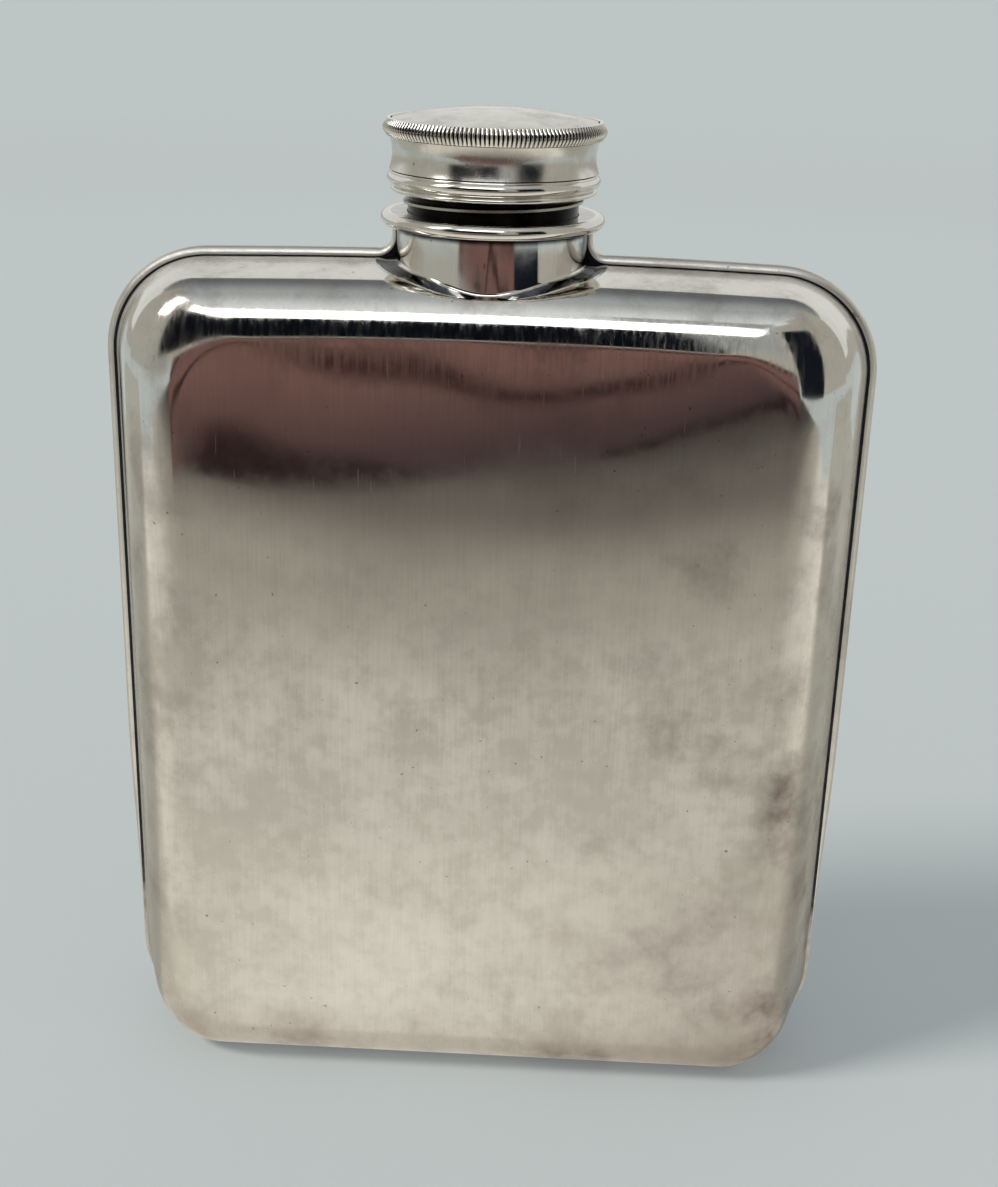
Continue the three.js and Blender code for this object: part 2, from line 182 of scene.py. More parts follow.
def add(tree, kind, settings=(), links=()):
    """Adds a node. A setting names a property or a socket, and a link names a socket and its source."""
    node = tree.nodes.new("ShaderNode" + kind)
    for key, value in dict(settings).items():
        if isinstance(key, str) and hasattr(node, key):
            setattr(node, key, value)
        else:
            node.inputs[key].default_value = value
    for key, source in dict(links).items():
        tree.links.new(source, node.inputs[key])
    return node


def new_material(name):
    material = bpy.data.materials.new(name)
    material.use_nodes = True
    material.node_tree.nodes.clear()
    return material, material.node_tree


# %% [markdown]
# ## Old polished silver
# Silver reflects almost all light and hardly tints it, so a clean patch is a mirror. Handling leaves
# a haze of fine scratches that blurs the mirror, and air leaves sulphide: first straw, then a mauve
# brown, darkest in the corners where no cloth reaches. The metal is one Principled shader. Soft
# clouds mix its colour and lift its roughness, and fine scratches and a slow waviness go to its bump.
# Where a piece's vertices ask for it, the metal turns dark blue-grey and then black: tarnish in the
# milled ring's grooves, painted shade in gaps and under the collar, and a painted dark reflection on
# the neck's flare and the collar's dish. The sizes of the patterns are real millimetres. The scratches
# are drawn wider than the real hair lines, because those are too fine to show.

# %% Masks that the silver finishes share
DRAWN_OUT = 0.035  # makes a scratch about thirty times longer than it is wide


def per_mm(size):
    """The scale of a pattern whose features are so many millimetres across."""
    return 1000 / size


def soft_step(tree, value, low, high, out_low=0.0, out_high=1.0):
    settings = {"interpolation_type": "SMOOTHSTEP", 1: low, 2: high, 3: out_low, 4: out_high}
    return add(tree, "MapRange", settings, {0: value}).outputs[0]


def clouds(tree, where, size, detail, low, high, offset):
    """Soft patches about so many millimetres across, from 0 to 1."""
    moved = add(tree, "Mapping", {"Location": offset}, {"Vector": where})
    settings = {"Scale": per_mm(size), "Detail": detail, "Roughness": 0.6}
    noise = add(tree, "TexNoise", settings, {"Vector": moved.outputs[0]})
    return soft_step(tree, noise.outputs[0], low, high)


def scratches(tree, where, angle, width, low, high, offset):
    """Fine straight scratches that lie at an angle in the face's plane."""
    lie = {"Rotation": (0, radians(angle), 0), "Scale": (1, 1, DRAWN_OUT), "Location": offset}
    turned_to = add(tree, "Mapping", lie, {"Vector": where})
    noise = add(tree, "TexNoise", {"Scale": per_mm(width), "Detail": 2}, {"Vector": turned_to.outputs[0]})
    return soft_step(tree, noise.outputs[0], low, high)


def both(tree, operation, first, second):
    """Two values put together. A plain number is set and a socket is linked."""
    values = {0: first, 1: second}
    settings = {k: v for k, v in values.items() if isinstance(v, (int, float))}
    links = {k: v for k, v in values.items() if k not in settings}
    return add(tree, "Math", {"operation": operation, **settings}, links).outputs[0]


def blend_colours(tree, amount, first, second):
    """Two colours mixed by an amount."""
    settings = {"data_type": "RGBA"}
    links = {0: amount}
    for key, value in ((6, first), (7, second)):
        if isinstance(value, list):
            settings[key] = value
        else:
            links[key] = value
    return add(tree, "Mix", settings, links).outputs[2]


def times(tree, *values):
    """A product of masks and plain numbers."""
    result = values[0]
    for value in values[1:]:
        result = both(tree, "MULTIPLY", result, value)
    return result


def plus(tree, *values):
    """A sum of masks and plain numbers."""
    result = values[0]
    for value in values[1:]:
        result = both(tree, "ADD", result, value)
    return result


# %% Colours of silver from clean to black, and the sizes of its patterns
CLEAN_SILVER = "#EFECE6"
STRAW_HAZE = "#D0CDC4"
MAUVE_TARNISH = "#8C8079"
# The two darkest tones serve tarnish and sulphide, and also painted shade and painted dark reflection.
TARNISH_AND_SHADE_BLUE = "#34383F"
SULPHIDE_AND_SHADE = "#211D1C"
CLOUD, BLOTCH, SMUDGE, GRAIN, SPECK = 30, 17, 8, 2.6, 1.1  # millimetres across
RUB, MARK, BRUSH = 0.3, 0.25, 0.5  # widths of rubbed lines, single scratches and brushed lines
WAVE = 30  # millimetres from one slow dent of the sheet to the next
WAVE_DEPTH, SCRATCH_DEPTH = 0.0002, 0.0000025  # metres


# %% Wear, and painted shade at the foot, that only the two large pressings have
def body_haze(tree, z, veil):
    """The haze is thin near the top, where cloths reach, and thickens half way down."""
    low_down = soft_step(tree, z, 0.086, 0.062)
    veil = times(tree, veil, soft_step(tree, z, 0.086, 0.062, 0.3, 1.1))
    return plus(tree, veil, times(tree, low_down, 0.35))


def body_stain_and_foot_shade(tree, where, stain_and_shade, blotch):
    """The blotches are darker towards the right and in the lower right corner, tarnish lies along the
    shoulders, and shade is painted at the foot.
    """
    x, _, z = add(tree, "SeparateXYZ", links={0: where}).outputs
    right_hand = soft_step(tree, x, -0.010, 0.040, 0.25, 1.35)
    # Darker towards the right and in the lower right corner.
    lower_right_darkening = times(tree, soft_step(tree, x, 0.0, 0.038), soft_step(tree, z, 0.055, 0.018), 0.4)
    # Painted shade: the foot is darkened, mottled by the blotches.
    foot = times(tree, soft_step(tree, z, 0.013, 0.004), plus(tree, times(tree, blotch, 0.5), 0.25))
    aside = soft_step(tree, both(tree, "ABSOLUTE", x, 0.0), 0.034, 0.042)
    shoulder = both(tree, "MAXIMUM", aside, soft_step(tree, z, 0.100, 0.106))
    smudge = clouds(tree, where, SMUDGE, 6, 0.44, 0.78, (0.35, 0.61, 0.13))
    return plus(tree, times(tree, stain_and_shade, right_hand), foot, lower_right_darkening, times(tree, shoulder, smudge, 0.5))


def body_roughness(tree, where):
    """The top shoulder is brushed at a slant, and the sheet stays dull where solder was cleaned off."""
    _, y, z = add(tree, "SeparateXYZ", links={0: where}).outputs
    brushed = scratches(tree, where, 24, BRUSH, 0.35, 0.7, (0.4, 0.3, 0.2))
    beside_seam = soft_step(tree, both(tree, "ABSOLUTE", y, 0.0), 0.0046, 0.0020)
    brushed = times(tree, brushed, soft_step(tree, z, 0.099, 0.106), 0.08)
    return plus(tree, brushed, times(tree, beside_seam, 0.3))


# %% Painted seam shade, tarnish and painted shade from the vertices, and the surface's own bumps
def painted_seam_shade(tree, where, metal, grain, joint):
    """Painted shade: black up to a distance from the seam's plane, fading towards the base."""
    _, y, z = add(tree, "SeparateXYZ", links={0: where}).outputs
    depth = plus(tree, both(tree, "ABSOLUTE", y, 0.0), times(tree, grain, 0.25 * joint))
    seam_shade = soft_step(tree, depth, joint, 0.7 * joint)
    seam_shade = times(tree, seam_shade, soft_step(tree, z, 0.022, 0.050, 0.25, 1.0), 0.93)
    return blend_colours(tree, seam_shade, metal, colour(SULPHIDE_AND_SHADE))


def tarnished_and_shaded(tree, metal, grain):
    """Dark where the piece's vertices say so, with ragged edges: tarnish in grooves, painted shade in gaps.
    """
    tarnish_and_shade = add(tree, "Attribute", {"attribute_name": TARNISH_AND_SHADE}).outputs["Fac"]
    ragged = plus(tree, tarnish_and_shade, times(tree, tarnish_and_shade, grain, 0.3))
    # Painted shade and tarnish: dark blue-grey first, then black.
    metal = blend_colours(tree, soft_step(tree, ragged, 0.0, 0.8), metal, colour(TARNISH_AND_SHADE_BLUE))
    return blend_colours(tree, soft_step(tree, ragged, 0.8, 1.15), metal, colour(SULPHIDE_AND_SHADE))


def dented(tree, where, rubbed, marks):
    """A slow wave of the sheet with fine scratches over it."""
    slow = add(tree, "TexNoise", {"Scale": per_mm(WAVE), "Detail": 0.6}, {"Vector": where}).outputs[0]
    wave = add(tree, "Bump", {"Strength": 1.0, "Distance": WAVE_DEPTH}, {"Height": slow})
    fine = both(tree, "SUBTRACT", times(tree, rubbed, 0.1), marks)
    links = {"Height": fine, "Normal": wave.outputs[0]}
    return add(tree, "Bump", {"Strength": 0.5, "Distance": SCRATCH_DEPTH}, links).outputs[0]


# %% The silver of the body and the cap
def silver(name, haze=1.0, tarnish=1.0, body=False, joint=0.0, base_rough=0.05):
    """Polished silver. haze and tarnish say how much it has of each, body adds the large panels' wear
    and the painted shade at their foot, and joint is how far from the seam's plane the metal is painted
    black as shade, in metres."""
    material, tree = new_material(name)
    where = add(tree, "TexCoord").outputs["Object"]
    cloud = clouds(tree, where, CLOUD, 4, 0.36, 0.68, (0.013, 0.002, 0.021))
    blotch = clouds(tree, where, BLOTCH, 7, 0.47, 0.80, (0.171, 0.05, 0.093))
    grain = clouds(tree, where, GRAIN, 6, 0.36, 0.72, (0.3, 0.1, 0.2))
    speck = clouds(tree, where, SPECK, 2, 0.72, 0.77, (0.5, 0.4, 0.1))
    upright = scratches(tree, where, 9, RUB, 0.3, 0.7, (0.1, 0.2, 0.0))
    level = scratches(tree, where, 71, RUB, 0.3, 0.7, (0.7, 0.1, 0.4))
    rubbed = plus(tree, upright, level)
    rising = scratches(tree, where, 47, MARK, 0.69, 0.76, (0.1, 0.2, 0.0))
    falling = scratches(tree, where, -14, MARK, 0.70, 0.77, (0.7, 0.1, 0.4))
    marks = both(tree, "MAXIMUM", rising, falling)
    veil = plus(tree, times(tree, cloud, 0.45), times(tree, grain, 0.3))
    stain_and_shade = times(tree, blotch, 0.55 * tarnish)
    if body:
        z = add(tree, "SeparateXYZ", links={0: where}).outputs[2]
        veil = body_haze(tree, z, veil)
        stain_and_shade = body_stain_and_foot_shade(tree, where, stain_and_shade, blotch)
    veil = times(tree, veil, haze)
    tint = plus(tree, veil, times(tree, rubbed, 0.1))
    metal = blend_colours(tree, tint, colour(CLEAN_SILVER), colour(STRAW_HAZE))
    metal = blend_colours(tree, stain_and_shade, metal, colour(MAUVE_TARNISH))
    metal = blend_colours(tree, times(tree, speck, 0.5 * tarnish), metal, colour(SULPHIDE_AND_SHADE))
    metal = tarnished_and_shaded(tree, metal, grain)
    if joint:
        metal = painted_seam_shade(tree, where, metal, grain, joint)
    rough = plus(tree, times(tree, veil, 0.26), times(tree, stain_and_shade, 0.2), times(tree, marks, 0.06))
    rough = plus(tree, rough, times(tree, rubbed, veil, 0.03))
    if body:
        rough = plus(tree, rough, body_roughness(tree, where))
    rough = plus(tree, rough, base_rough)
    normal = dented(tree, where, rubbed, marks)
    links = {"Base Color": metal, "Roughness": rough, "Normal": normal}
    shader = add(tree, "BsdfPrincipled", {"Metallic": 1.0}, links)
    add(tree, "OutputMaterial", links={"Surface": shader.outputs[0]})
    print(f"{name}: {len(tree.nodes)} nodes")
    return material


# %% Six finishes of silver
# The shells are painted black as shade in the crevice beside the seam strip, fading towards the base.
body_silver = silver("raised_silver", body=True, joint=0.0012, base_rough=0.04)
turned_silver = silver("turned_silver", haze=0.7, tarnish=0.7)
worn_silver = silver("handled_turned_silver", haze=1.3, tarnish=1.6, base_rough=0.1)
strip_silver = silver("drawn_silver_strip", haze=0.8, tarnish=0.9, base_rough=0.36)
# The neck is painted black as shade at its sides, beside the seam strip and under the collar.
neck_silver = silver("spun_silver_neck", haze=0.6, tarnish=0.8, joint=0.0058)
plate_silver = silver("worn_silver_plate", haze=1.3, tarnish=0.8, base_rough=0.10)

# %% [markdown]
# ## Blackened silver with painted shade, and cork
# The screw thread can't be polished, so sulphide stays in it, and the shade of the narrow gap under the
# cap is painted in as well: nearly black in the grooves and grey on the crests. The cap's liner is
# cork, cut across the bark, so its pores show as dark dots about a millimetre across in a tan ground.

# %% The thread's silver and the cork
WORN = "worn"  # a number on each vertex, 1 where the crests rub bright


def sulphide_and_shade_silver(name):
    material, tree = new_material(name)
    where = add(tree, "TexCoord").outputs["Object"]
    patch = clouds(tree, where, 3, 5, 0.35, 0.75, (0.2, 0.3, 0.1))
    crest = add(tree, "Attribute", {"attribute_name": WORN}).outputs["Fac"]
    # Painted shade: nearly black, for the sulphide and for the shade of the gap under the cap. The crests
    # are worn bright.
    metal = blend_colours(tree, patch, colour("#131211"), colour("#24221F"))
    metal = blend_colours(tree, crest, metal, colour("#B9B4A8"))
    rough = soft_step(tree, patch, 0, 1, 0.22, 0.34)
    shader = add(
        tree, "BsdfPrincipled", {"Metallic": 1.0}, {"Base Color": metal, "Roughness": rough}
    )
    add(tree, "OutputMaterial", links={"Surface": shader.outputs[0]})
    return material


def cut_cork(name):
    material, tree = new_material(name)
    where = add(tree, "TexCoord").outputs["Object"]
    tone = clouds(tree, where, 4, 6, 0.35, 0.7, (0.1, 0.1, 0.1))
    pores = clouds(tree, where, 1.1, 2, 0.62, 0.7, (0.6, 0.2, 0.3))
    tan_cork = blend_colours(tree, tone, colour("#B98B5E"), colour("#8E6540"))
    ground = blend_colours(tree, pores, tan_cork, colour("#4A3020"))
    bump = add(tree, "Bump", {"invert": True, "Strength": 0.6, "Distance": 0.0002}, {"Height": pores})
    shader = add(
        tree, "BsdfPrincipled", {"Roughness": 0.85}, {"Base Color": ground, "Normal": bump.outputs[0]}
    )
    add(tree, "OutputMaterial", links={"Surface": shader.outputs[0]})
    return material


thread_silver = sulphide_and_shade_silver("sulphide_and_shade_silver")
cork = cut_cork("cut_cork")

# %% [markdown]
# ## The outline of the body
# Seen from the front, the flask is a rounded rectangle whose top edge rises a little in the middle.
# The corner arcs stop where they meet the arch's own slope, so no kink shows in the polish. Each
# station keeps its point and the direction it faces.

# %% Stations round the body
ARCH_SLOPE = degrees(2 * TOP_ARCH / CORNER_X)  # how far the arch leans where it meets a corner


def top_edge(x):
    return BODY_HEIGHT + TOP_ARCH * (1 - (x / CORNER_X) ** 2)


def corner(centre_z, start, end, steps):
    turns = even(radians(start), radians(end), steps)
    facing = [Vector((cos(a), sin(a))) for a in turns]
    return [(Vector((CORNER_X, centre_z)) + n * CORNER_RADIUS, n) for n in facing]


def right_half(steps=(24, 26, 62, 26, 32)):
    """Stations up the right side, from the middle of the base to the middle of the top."""
    base = [(Vector((x, -BASE_FLAT)), Vector((0, -1))) for x in even(0, CORNER_X, steps[0])]
    low = corner(CORNER_LOW, -90, 0, steps[1])
    side = [(Vector((HALF_WIDTH, z)), Vector((1, 0))) for z in even(CORNER_LOW, CORNER_TOP, steps[2])]
    high = corner(CORNER_TOP, 0, 90 - ARCH_SLOPE, steps[3])
    top = []
    for x in even(high[-1][0].x, 0, steps[4]):
        top.append((Vector((x, top_edge(x))), Vector((2 * TOP_ARCH * x / CORNER_X**2, 1)).normalized()))
    return base + low[1:] + side[1:] + high[1:] + top[1:]


def mirrored(stations):
    flipped = [(Vector((-p.x, p.y)), Vector((-n.x, n.y))) for p, n in stations]
    return flipped[::-1]


half = right_half()
OUTLINE = half + mirrored(half)[1:-1]
print(f"outline: {len(OUTLINE)} stations, {BODY_HEIGHT + TOP_ARCH:.1f} high in the middle")

# %% [markdown]
# ## The section of a shell
# Cut across the edge, a shell has a sloping wall, a crease, a round shoulder and a face that rises
# to its middle. The walls slope more at the sides than at the top, so the section changes with the
# way a station faces. The face is one smooth hill, and the shoulder ends leaning just as much as the
# hill does there, or the reflections would break at the join.

# %% Wall, shoulder and face
FACE_MIDDLE = Vector((0, (BODY_HEIGHT - BASE_FLAT) / 2))
FLAT_DEPTH = BASE_FLAT / tan(radians(END_DRAFT))  # where the flat of the base ends
INNER_BEND = 8.0  # bend of the shoulder's inner edge at the corners
EASE_REACH = 22.0  # how far along the sides that bend starts
BEND_LATE = 1.6  # higher numbers leave more of the bend to the shoulder's inner part
FACE_FLAT = 6  # higher numbers keep the join of face and shoulder nearer to the shoulder


def section_sizes(n):
    upright = n.y**2
    draft = radians(SIDE_DRAFT + (END_DRAFT - SIDE_DRAFT) * upright)
    radius = SIDE_SHOULDER + (END_SHOULDER - SIDE_SHOULDER) * upright
    start = draft + radians(CREASE)
    deep = HALF_DEPTH - radius
    across = (deep + radius * sin(start)) * tan(draft) + radius * cos(start)
    return draft, radius, start, deep, across


FACE_HALF_X = HALF_WIDTH - section_sizes(Vector((1, 0)))[4]
FACE_HALF_Z = FACE_MIDDLE.y + BASE_FLAT - section_sizes(Vector((0, 1)))[4]


def hill(point):
    """Rise of the face, and how it leans, at a point of its plane."""
    u, v = (point.x - FACE_MIDDLE.x) / FACE_HALF_X, (point.y - FACE_MIDDLE.y) / FACE_HALF_Z
    lean = Vector((u * (1 - v * v) / FACE_HALF_X, v * (1 - u * u) / FACE_HALF_Z)) * 2 * FACE_CROWN
    return FACE_CROWN * (1 - u * u) * (1 - v * v), lean


def smooth(share):
    share = min(1.0, max(0.0, share))
    return share * share * (3 - 2 * share)


def corner_ease(p, n):
    """How far the shoulder's inner edge is drawn inwards, so that it turns a corner in an easy bend."""
    above = p.y > FACE_MIDDLE.y
    beyond = p.y - CORNER_TOP if above else CORNER_LOW - p.y
    ease_x = (1 - abs(n.x)) * smooth(1 + (abs(p.x) - CORNER_X) / EASE_REACH)
    ease_z = (1 - abs(n.y)) * smooth(1 + beyond / EASE_REACH)
    return Vector((-ease_x if p.x > 0 else ease_x, -ease_z if above else ease_z)) * INNER_BEND


def skin_point(station, row, inside, wall_rows, arc_rows, rings):
    """One point of a shell's skin: (x, depth, z). Rows run up the wall, over the shoulder, to the middle."""
    p, n = station
    draft, radius, start, deep, across = section_sizes(n)
    eased = corner_ease(p, n)
    lean = max(0.0, hill(p - n * across + eased)[1].dot(n))
    end = pi / 2 - lean
    if row < len(wall_rows):
        depth = wall_rows[row]
        inset = depth * tan(draft) + inside / cos(draft)
        run = 0.0
    else:
        share = min(1.0, (row - len(wall_rows)) / arc_rows)
        angle = start + (end - start) * share
        depth = deep + (radius - inside) * sin(angle)
        inset = across - (radius - inside) * cos(angle)
        run = (cos(start) - cos(angle)) / (cos(start) - cos(end))
    edge = p - n * inset + eased * run**BEND_LATE
    ring = row - len(wall_rows) - arc_rows
    if ring > 0:
        s = rings[ring - 1]
        rise_at_edge = hill(edge)[0]
        flat = HALF_DEPTH - inside
        edge = FACE_MIDDLE + (edge - FACE_MIDDLE) * s
        depth = flat - (flat - depth + rise_at_edge) * s**FACE_FLAT + hill(edge)[0]
    return Vector((edge.x, depth, max(edge.y, inside)))


# %% [markdown]
# ## Pressing the two shells
# A line of vertices, one for each row of the section, is spun into a plain drum with one column for
# each station. Then the drum is pressed: every vertex moves to its place on the section. The inner
# skin is the same surface one sheet further in, so the piece is real sheet, closed at the seam.
# Under the neck the sheet is bored out with a boolean, because the drink has to get past it.

# %% Shells
OUTER_WALL = [BAND_HALF + SEAM_GAP, 2.6, FLAT_DEPTH, 5.9]  # depths of the wall's rows
OUTER_ARC = 26  # rows over the shoulder
OUTER_RINGS = [1 - share**1.25 for share in even(0, 1, 26)[1:]]  # closer together near the shoulder
INNER_WALL = [BAND_HALF + SEAM_GAP, FLAT_DEPTH]
INNER_ARC = 8
INNER_RINGS = even(1, 0, 6)[1:]
BORE_IN_WALL = NECK_RADIUS - NECK_WALL / 2


def pressed_shell(side):
    """A shell as a bmesh. side is -1 for the front and 1 for the back."""
    outer_rows = len(OUTER_WALL) + OUTER_ARC + len(OUTER_RINGS)
    inner_rows = len(INNER_WALL) + INNER_ARC + len(INNER_RINGS)
    columns = len(OUTLINE)
    rows = outer_rows + inner_rows + 2
    bm = turned([(1, row) for row in range(rows)], steps=columns, closed=False)
    for vertex in bm.verts:
        column = round(atan2(vertex.co.y, vertex.co.x) / tau * columns) % columns
        row = outer_rows - round(vertex.co.z)
        if row >= 0:
            place = skin_point(OUTLINE[column], row, 0.0, OUTER_WALL, OUTER_ARC, OUTER_RINGS)
        else:
            place = skin_point(OUTLINE[column], -1 - row, SHEET, INNER_WALL, INNER_ARC, INNER_RINGS)
        vertex.co = Vector((place.x, place.y * side, place.z))
    return bm


def bored(piece, radius, low, high):
    """Cuts an upright round hole through a piece, by a boolean with a turned plug."""
    plug = turned([(0, low), (radius, low), (radius, high), (0, high)], steps=96, closed=False)
    finish_mesh(plug)
    bmesh.ops.scale(plug, vec=(MM, MM, MM), verts=plug.verts)
    mesh = bpy.data.meshes.new("plug")
    plug.to_mesh(mesh)
    plug.free()
    cutter = bpy.data.objects.new("plug", mesh)
    bpy.context.scene.collection.objects.link(cutter)
    cut = piece.modifiers.new("bore", "BOOLEAN")
    cut.operation, cut.solver, cut.object = "DIFFERENCE", "EXACT", cutter
    bpy.context.view_layer.update()
    result = bpy.data.meshes.new_from_object(piece.evaluated_get(bpy.context.evaluated_depsgraph_get()))
    piece.modifiers.clear()
    old, piece.data = piece.data, result
    bpy.data.meshes.remove(old)
    bpy.data.objects.remove(cutter)
    print(f"{piece.name}: bored to {2 * radius:.1f} mm, {len(result.polygons)} faces")


shells = {}
for side, name, node in ((-1, "front_pressing", "front_shell"), (1, "back_pressing", "back_shell")):
    shells[side] = make_piece(pressed_shell(side), name, body_silver, "flask", "silver", node)
    bored(shells[side], BORE_IN_WALL, BODY_HEIGHT - HALF_DEPTH, BODY_HEIGHT + 3)

# %% [markdown]
# ## The neck
# The neck is a short tube whose foot is flared and filed to the shoulders, so it drops further at
# the front and back than at the sides. It is spun as a plain ring first. Each vertex then takes its
# height from the shoulder under it. The ring is split along the seam with a bisecting plane, since
# each half belongs to one shell, and the cut is filled.

# %% The shoulder's height under the neck
def shoulder_height(x, y):
    """Height of the shells' outside above a point near the neck."""
    draft, radius, start, deep, across = section_sizes(Vector((0, 1)))
    depth = min(abs(y), HALF_DEPTH)
    if depth < deep + radius * sin(start):
        return top_edge(x) - depth * tan(draft)
    return top_edge(x) - across + sqrt(radius**2 - (depth - deep) ** 2)


FOOT_SIDE, FOOT_FRONT = 2.7, 0.2  # how far the foot spreads, at the sides and at the front
FOOT_EDGE = 0.1  # thickness that shows at the foot's rim
FRONT_LIFT = 0.1  # solder that fills the foot's lowest point
FOOT_KNEE = 0.25  # small fillet between the foot's slope and the neck
KNEE_LOW, KNEE_RISE = 0.15, 0.25  # fillet over the shoulder at the front, and how much more at the sides
FOOT_SAG = 0.12  # hollow of the foot's slope, as a share of its spread
SUNK_EDGE = 0.35  # how far the foot's rim goes into the shoulder
TUBE_REACH = 1.2  # how far the neck's bore reaches below the shoulder
FLARE_STEPS = 10


def neck_spread(angle):
    return FOOT_FRONT + (FOOT_SIDE - FOOT_FRONT) * abs(cos(angle)) ** 1.5


def neck_profile(angle):
    """(radius, height, painted shade) down the neck at an angle: bore, rim, flare, wall and top. Shade is
    painted in the gap at the rim and under the collar, and a dark reflection is painted on the flare.
    """
    facing = Vector((cos(angle), sin(angle)))
    spread = neck_spread(angle)
    rim_z = shoulder_height(*(facing * (NECK_RADIUS + spread)))
    wall_z = shoulder_height(*(facing * NECK_RADIUS))
    sides = min(1.0, max(0.0, (abs(facing.x) - 0.12) / 0.35))
    foot = Vector((NECK_RADIUS + spread, rim_z + FOOT_EDGE))
    filled = FRONT_LIFT * (1 - smooth(abs(facing.x) / 0.5))
    knee = Vector((NECK_RADIUS + FOOT_KNEE, wall_z + KNEE_LOW + KNEE_RISE * sides + filled))
    belly = (foot + knee) / 2 - Vector((0.0, FOOT_SAG * spread))
    bore = NECK_RADIUS - NECK_WALL
    # Painted shade in the gap under the foot's rim.
    rows = [(bore, wall_z - TUBE_REACH, 0.0), (foot.x, rim_z - SUNK_EDGE, 0.9), (*foot, 0.0)]
    for t in even(0.12, 1, FLARE_STEPS):
        point = foot * (1 - t) ** 2 + belly * 2 * t * (1 - t) + knee * t**2
        point.y = max(point.y, shoulder_height(*(facing * point.x)) + FOOT_EDGE)
        # Painted dark reflection on the flare, stronger at the sides.
        rows.append((*point, (0.35 + 0.3 * sides) * (t < 0.97)))
    for turn in even(0, pi / 2, 5)[1:]:
        fillet = knee + Vector((-FOOT_KNEE * sin(turn), FOOT_KNEE * 1.6 * (1 - cos(turn))))
        rows.append((*fillet, 0.0))
    rows.append((NECK_RADIUS, NECK_TOP - 0.9, 0.0))
    # Painted shade under the collar, on the neck's top.
    return rows + [(NECK_RADIUS, NECK_TOP, 1.0), (bore, NECK_TOP, 1.0)]


def flared_neck(side):
    rows = len(neck_profile(0.0))
    bm = turned([(1, row) for row in range(rows)], steps=240)
    layer = bm.verts.layers.float.new(TARNISH_AND_SHADE)
    for vertex in bm.verts:
        angle = atan2(vertex.co.y, vertex.co.x)
        radius, height, tarnish_and_shade = neck_profile(angle)[round(vertex.co.z)]
        vertex.co = Vector((radius * cos(angle), radius * sin(angle), height))
        vertex[layer] = tarnish_and_shade
    cut_at = side * (BAND_HALF + SEAM_GAP)
    everything = bm.verts[:] + bm.edges[:] + bm.faces[:]
    cut = bmesh.ops.bisect_plane(
        bm, geom=everything, plane_co=(0, cut_at, 0), plane_no=(0, -side, 0), clear_outer=True
    )
    rims = [item for item in cut["geom_cut"] if isinstance(item, bmesh.types.BMEdge)]
    bmesh.ops.holes_fill(bm, edges=rims, sides=0)
    return bm


for side, name in ((-1, "neck_front"), (1, "neck_back")):
    make_piece(flared_neck(side), name, neck_silver, "flask", "silver")

# %% [markdown]
# ## The seam strip
# A strip of drawn silver covers the joint between the shells. It runs down one side of the neck,
# turns out along the shoulder, goes round the body and climbs the neck again. Its section is nearly
# a half round. It stands less proud beside the neck and is rubbed almost flush at the base. One loop
# of vertices is extruded into a straight bar with a ring for each station, and the bar is bent along
# the route. The part that sits in the joint is painted dark as the crevice's shade, more where the
# strip stands prouder.

# %% The strip's route and section
BAND_DEPTH = 0.7  # how far the strip reaches in behind the shells' edges
BAND_EDGE = 0.95  # rounding of its edges
NECK_PROUD = 0.6  # strip beyond the neck
BEND = 2.6  # inside bend from neck to shoulder
LOW_PROUD = 0.2  # strip beyond the shells round the base, where it is rubbed down
IN_BASE = 0.5  # lowest height of the part behind the shells' edges
FADE_LOW, FADE_HIGH = 14.0, 48.0  # heights between which it comes up to its full height


def strip_route():
    """(point, facing, proud) along the right half, from the base's middle to the top of the neck."""
    bend_x = NECK_RADIUS + BEND
    route = []
    for p, n in right_half():
        if p.x >= bend_x or n.y < 0:
            full = smooth((p.y - FADE_LOW) / (FADE_HIGH - FADE_LOW))
            route.append((p, n, LOW_PROUD + (BAND_PROUD - LOW_PROUD) * full))
    centre = Vector((bend_x, top_edge(bend_x) + BEND))
    for turn in even(-pi / 2, -pi, 14):
        out = Vector((cos(turn), sin(turn)))
        share = (-pi / 2 - turn) / (pi / 2)
        route.append((centre + out * BEND, -out, BAND_PROUD + (NECK_PROUD - BAND_PROUD) * share))
    route.append((Vector((NECK_RADIUS, NECK_TOP)), Vector((1, 0)), NECK_PROUD))
    return route


def strip_section():
    """(proud, depth) round the section. proud runs from -1, behind the shells, to 1, the outside."""
    flat, bend = BAND_HALF - BAND_EDGE, 8
    front = arc((-flat, BAND_PROUD - BAND_EDGE), BAND_EDGE, 180, 90, bend)
    back = arc((flat, BAND_PROUD - BAND_EDGE), BAND_EDGE, 90, 0, bend)
    outside = [(z, y) for y, z in front + back]
    front_foot = [(-BAND_DEPTH, -BAND_HALF), (0.0, -BAND_HALF)]
    back_foot = [(0.0, BAND_HALF), (-BAND_DEPTH, BAND_HALF)]
    return front_foot + outside + back_foot


